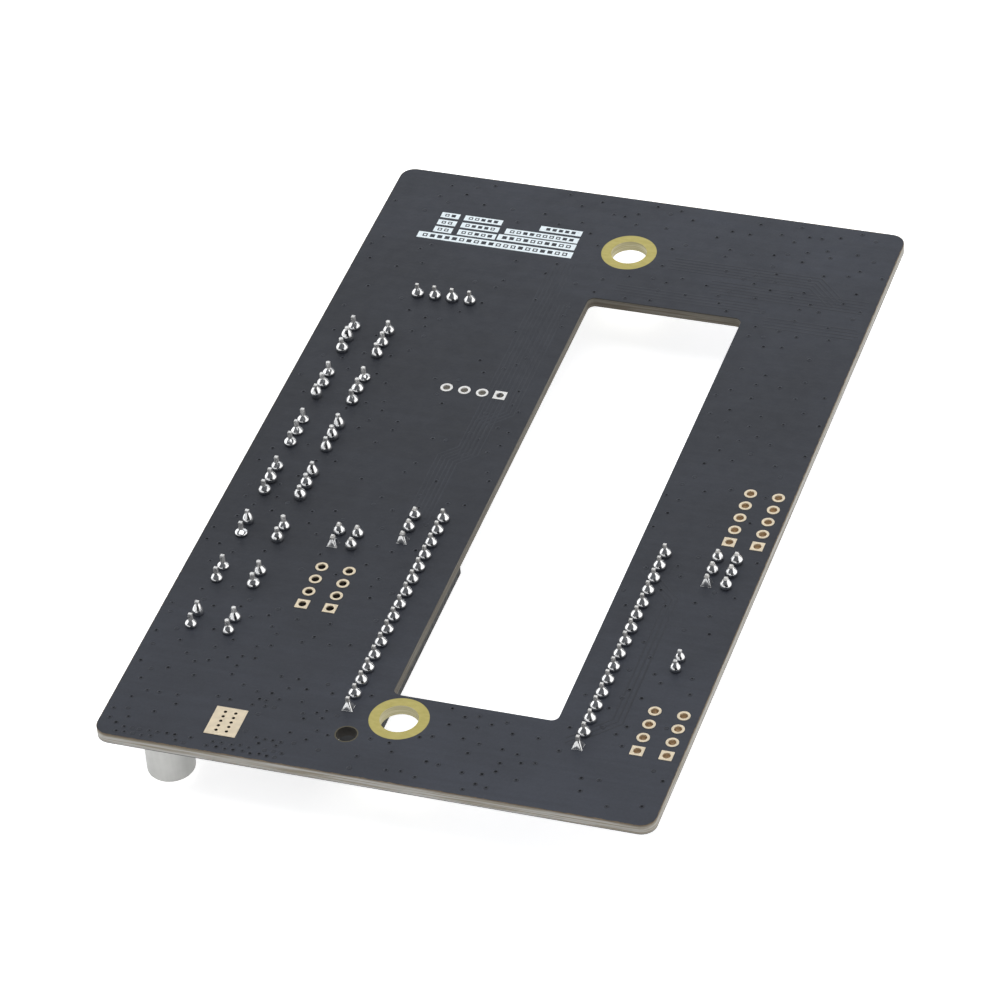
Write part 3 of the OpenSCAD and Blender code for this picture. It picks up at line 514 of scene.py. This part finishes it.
def drop(mesh, low, high, square, pin, bore, uneven, belly, tip):
    """A frozen drop of solder: a plug in the hole, a swollen foot and, if tip is given, a skin up to it."""
    sides, steps = 36, 24
    middle = (low + high) / 2
    foot = (high.x - low.x) / 2 * (1 + chance.uniform(-0.06, 0.08) * uneven) * (1 if square else belly)
    rise = high.z - TOP
    neck = 0.34 if tip else 0.22
    power = 1 + chance.uniform(-0.2, 0.25) * uneven
    lean = Vector((chance.uniform(-0.1, 0.1), chance.uniform(-0.1, 0.1))) * uneven
    lobe, turn = chance.uniform(0.02, 0.1) * uneven, chance.uniform(0.0, math.tau)

    # The outline, as radius, height over the board and share of the drop's height
    body = []
    for i in range(steps + 1):
        t = i / steps
        swell = 1 - t ** 1.3 if square else turnip(t ** power)
        body.append((neck + (foot - neck) * swell, max(0.05, rise * t), t))
    profile = [(bore, low.z - TOP, 0.0), (bore, -0.02, 0.0), (body[0][0] * 0.96, 0.0, 0.0)] + body
    if tip:
        profile += [(neck - 0.05 * s, rise + (tip - rise) * s, 1.0) for s in (0.3, 0.65, 0.93)]
        profile += [(pin * 0.45, tip + 0.02, 1.0), (pin * 0.2, tip + 0.05, 1.0)]
    else:
        profile.append((pin * 0.4, rise + 0.03, 1.0))

    rings = []
    for radius, z, t in profile:
        bend = t * t * (1 - t) * 4
        ring = []
        for k in range(sides):
            a = math.tau * k / sides
            r = radius * (1 + lobe * math.cos(a - turn) * math.sin(math.pi * t))
            if square and z >= 0:
                # Corners stand out and faces are drawn in, less and less toward the pin
                corner = 1 / max(abs(math.cos(a)), abs(math.sin(a))) - 1
                r *= 1 + (1 - t) ** 0.7 * (1.362 * corner - 0.15)
            ring.append(mesh.verts.new((middle.x + r * math.cos(a) + lean.x * bend,
                                        middle.y + r * math.sin(a) + lean.y * bend, TOP + z)))
        rings.append(ring)
    for (_, _, t), band in zip(profile, skin(mesh, rings)):
        for made in band:
            made.smooth = True
            made.material_index = int(bool(tip) and t == 1.0)
    mesh.faces.new(rings[0][::-1])
    made = mesh.faces.new(rings[-1])
    made.smooth = True
    made.material_index = int(bool(tip))


# Solder, joint by joint: pin width and bore of each group, in millimetres, how unevenly it is filled,
# and how far its round drops swell past their solids
TERMINAL_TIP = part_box("terminal_1_clamps")[1].z / MM - TOP
for node, pin, bore, uneven, belly in (
    ("left_socket_solder", 0.45, 0.52, 0.3, 1.18),
    ("right_socket_solder", 0.45, 0.52, 0.3, 1.18),
    ("terminal_solder", 0.5, 0.57, 1.0, 1.14),
    ("display_socket_solder", 0.45, 0.52, 0.5, 1.18),
    ("header_solder", 0.6, 0.52, 0.5, 1.12),
    ("battery_connector_solder", 0.5, 0.44, 0.5, 1.0),
):
    drops = bmesh.new()
    terminal = node == "terminal_solder"
    for low, high, square in islands(node):
        inner = terminal and low.x > INNER_TAILS_X
        coated = inner and chance.random() < COATED_INNER or terminal and chance.random() < COATED_ANY
        drop(drops, low, high, square, pin, bore, uneven, belly, TERMINAL_TIP if coated else None)
    made = piece(node.replace("solder", "joints"), drops, "solder",
                 FINISHES["solder"], FINISHES["tinned_metal"])
    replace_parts(made, node)


def pointed_pin(mesh, low, high):
    """A square pin whose two ends are drawn to a point that is cut off."""
    middle, half, taper = (low + high) / 2, (high.x - low.x) / 2, 0.3
    rings = []
    for z, reach in ((low.z, half * 0.5), (low.z + taper, half),
                     (high.z - taper, half), (high.z, half * 0.6)):
        rings.append([mesh.verts.new((middle.x + reach * a, middle.y + reach * b, z))
                      for a, b in ((-1, -1), (1, -1), (1, 1), (-1, 1))])
    skin(mesh, rings)
    mesh.faces.new(rings[0][::-1])
    mesh.faces.new(rings[-1])


for node in ("jumper_block_pins", "selector_header_pins", "signal_header_pins"):
    pins = bmesh.new()
    for low, high, _ in islands(node):
        pointed_pin(pins, low, high)
    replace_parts(piece(node.replace("pins", "points"), pins, "contact_metal", FINISHES["contact_metal"]), node)


def sideways(line):
    """At each point of a bent line, the step to its left that sets a parallel line one millimetre off."""
    steps = []
    for i, point in enumerate(line):
        back = (point - line[i - 1]).normalized() if i else None
        ahead = (line[i + 1] - point).normalized() if i + 1 < len(line) else None
        way = ((back or ahead) + (ahead or back)).normalized()
        steps.append(Vector((-way.y, way.x)) / max(0.5, way.dot(ahead or back)))
    return steps


def ribbon(mesh, line):
    """A raised trace under the mask: a low rounded bar along a bent line."""
    section = ((-0.5, -0.5), (-0.5, 0.0), (-0.32, 0.9), (0.0, 1.0), (0.32, 0.9), (0.5, 0.0), (0.5, -0.5))
    rows = []
    for point, step in zip(line, sideways(line)):
        side = step * TRACE_W
        rows.append([mesh.verts.new((point.x + side.x * a, point.y + side.y * a, TOP + TRACE_H * h))
                     for a, h in section])
    made = [mesh.faces.new(rows[0]), mesh.faces.new(rows[-1][::-1])]
    for low, high in zip(rows, rows[1:]):
        for i in range(len(section)):
            made.append(mesh.faces.new((low[i - 1], high[i - 1], high[i], low[i])))
            made[-1].smooth = 1 < i < len(section) - 1
    for edge in {edge for face in made if not face.smooth for edge in face.edges}:
        edge.smooth = False


def bundle(mesh, points, count, pitch):
    """Parallel traces, each a step further to one side, that start and end a little unevenly."""
    line = [Vector(p) for p in points]
    for k in range(count):
        moved = [point + step * (pitch * k) for point, step in zip(line, sideways(line))]
        moved[0] += (moved[0] - moved[1]).normalized() * chance.uniform(0.0, 1.2)
        moved[-1] += (moved[-1] - moved[-2]).normalized() * chance.uniform(0.0, 1.2)
        ribbon(mesh, moved)


traces = bmesh.new()
bundle(traces, ((-6.4, 44.5), (-6.4, 2.0), (-8.6, -0.2), (-8.6, -12.0)), 6, -0.62)
bundle(traces, ((-6.2, 36.0), (-6.2, 12.0), (-9.0, 9.2), (-9.0, 2.0)), 4, 0.62)
bundle(traces, ((7.0, 47.4), (27.0, 47.4), (30.0, 44.4)), 5, 0.62)
bundle(traces, ((14.0, 43.4), (35.0, 43.4)), 5, 0.66)
bundle(traces, ((2.0, 40.4), (21.0, 40.4)), 4, 0.62)
bundle(traces, ((23.5, 37.6), (35.5, 37.6)), 4, 0.7)
bundle(traces, ((22.0, -16.0), (26.5, -20.5), (26.5, -44.0), (22.0, -48.5)), 3, 0.7)
piece("trace_relief", traces, "masked_laminate", RELIEF)


def slab(mesh, low, high, base, rise, index=0):
    """A thin printed field with its edge rolled a little."""
    roll = min(0.06, (high[0] - low[0]) / 4)
    rings = []
    for inset, height in ((0.0, -rise / 2), (0.0, 0.0), (roll * 0.4, rise * 0.8), (roll, rise)):
        left, right = low[0] + inset, high[0] - inset
        front, rear = low[1] + inset, high[1] - inset
        rings.append([mesh.verts.new((x, y, base + height))
                      for x, y in ((left, front), (right, front), (right, rear), (left, rear))])
    faces = [face for band in skin(mesh, rings) for face in band]
    faces += [mesh.faces.new(rings[0][::-1]), mesh.faces.new(rings[-1])]
    for face in faces:
        face.material_index = index


def mark(mesh, x, y, half, base, index=0):
    """A small printed square, given by its middle."""
    slab(mesh, (x - half, y - half), (x + half, y + half), base, MARK_H, index)


# Print: a plain chart of white fields with rows of open and filled squares in place of words
chart = bmesh.new()
for low_x, low_y, high_x, high_y in LABELS:
    slab(chart, (low_x, low_y), (high_x, high_y), TOP, INK_H)
    size = (high_y - low_y) * 0.5
    pitch = size * 1.55
    count = int((high_x - low_x - size) / pitch)
    start = (low_x + high_x - (count - 1) * pitch) / 2
    for i in range(count):
        x, y = start + i * pitch, (low_y + high_y) / 2
        mark(chart, x, y, size / 2, TOP + INK_H, 1)
        if chance.random() < 0.5:
            mark(chart, x, y, size / 4, TOP + INK_H + MARK_H)
piece("printed_chart", chart, "masked_laminate", ink(), RELIEF)


def sheet(name, segments, size, finish):
    """A flat square for the studio."""
    mesh = bmesh.new()
    bmesh.ops.create_grid(mesh, x_segments=segments, y_segments=segments, size=size)
    data = bpy.data.meshes.new(name)
    mesh.to_mesh(data)
    mesh.free()
    data.materials.append(finish)
    return stand(name, data)


def studio_paper():
    """Pale paper that glows a little, and is clear from beneath, so that the component side can be seen."""
    s = Surface("studio_paper", {"Specular IOR Level": 0.1, "Roughness": 0.9,
                                 "Emission Color": rgb(1, 1, 1), "Emission Strength": 0.78})
    two_sided = s.node("ShaderNodeMixShader")
    s.feed(two_sided.inputs[0], s.node("ShaderNodeNewGeometry").outputs["Backfacing"])
    s.feed(two_sided.inputs[1], s.shader.outputs[0])
    s.feed(two_sided.inputs[2], s.node("ShaderNodeBsdfTransparent").outputs[0])
    s.feed(s.tree.nodes["Material Output"].inputs["Surface"], two_sided.outputs[0])
    return s.finish(s.shade((0.93, 0.93, 0.93), s.wander(0.02, 0.99, 1.01)))


def black_card():
    s = Surface("dark_card", {"Specular IOR Level": 0.1})
    return s.finish(s.shade((0.01, 0.01, 0.011), s.wander(0.02, 0.9, 1.1)), s.wander(0.05, 0.85, 0.95))


def softbox(name, place, size, watts, colour=(1, 1, 1)):
    """A rectangular soft light that faces the middle of the board."""
    lamp = bpy.data.lights.new(name, "AREA")
    lamp.shape = "RECTANGLE"
    lamp.size, lamp.size_y = size
    lamp.energy = watts
    lamp.color = colour
    made = stand(name, lamp)
    made.location = place
    made.rotation_euler = (AIM - Vector(place)).to_track_quat("-Z", "Y").to_euler()


floor = sheet("floor", 8, 3.0, studio_paper())
floor.location.z = -FLOOR_DROP

# A tent of softboxes, open for the camera: solder mirrors its walls as petals and the gap as a dark streak
softbox("left_wall", (-0.78, 0.15, 0.32), (1.2, 0.62), 3.7)
softbox("front_left_wall", (-0.44, -0.86, 0.2), (1.2, 0.38), 1.4)
softbox("right_wall", (0.78, 0.1, 0.32), (1.3, 0.62), 3.7, (1.0, 0.985, 0.965))
softbox("roof", (0.0, 0.05, 0.95), (0.9, 0.9), 4.8)
softbox("rear_wall", (0.0, 0.9, 0.5), (1.2, 0.7), 2.8, (0.96, 0.98, 1.0))

# A dark card behind the camera, there only to be mirrored
card = sheet("dark_card", 1, 0.5, black_card())
card.location = (0.0, -1.2, 0.36)
card.rotation_euler = (math.radians(90), 0, 0)
card.scale = (2.4, 0.72, 1.0)
card.visible_camera = False

world = bpy.data.worlds.new("studio")
world.use_nodes = True
sky = world.node_tree.nodes["Background"]
sky.inputs["Color"].default_value = rgb(0.9, 0.93, 1.0)
sky.inputs["Strength"].default_value = 0.14
bpy.context.scene.world = world
bpy.context.scene.view_settings.view_transform = "Standard"

away = Vector((math.sin(AZIMUTH) * math.cos(ELEVATION),
               -math.cos(AZIMUTH) * math.cos(ELEVATION),
               math.sin(ELEVATION)))
lens = bpy.data.cameras.new("camera")
lens.lens = LENS
lens.sensor_width = SENSOR
lens.clip_start = 0.05
camera = stand("camera", lens)
camera.location = AIM + away * DISTANCE
level = (-away).to_track_quat("-Z", "Y").to_matrix()
camera.rotation_euler = (level @ Matrix.Rotation(ROLL, 3, "Z")).to_euler()
bpy.context.scene.camera = camera
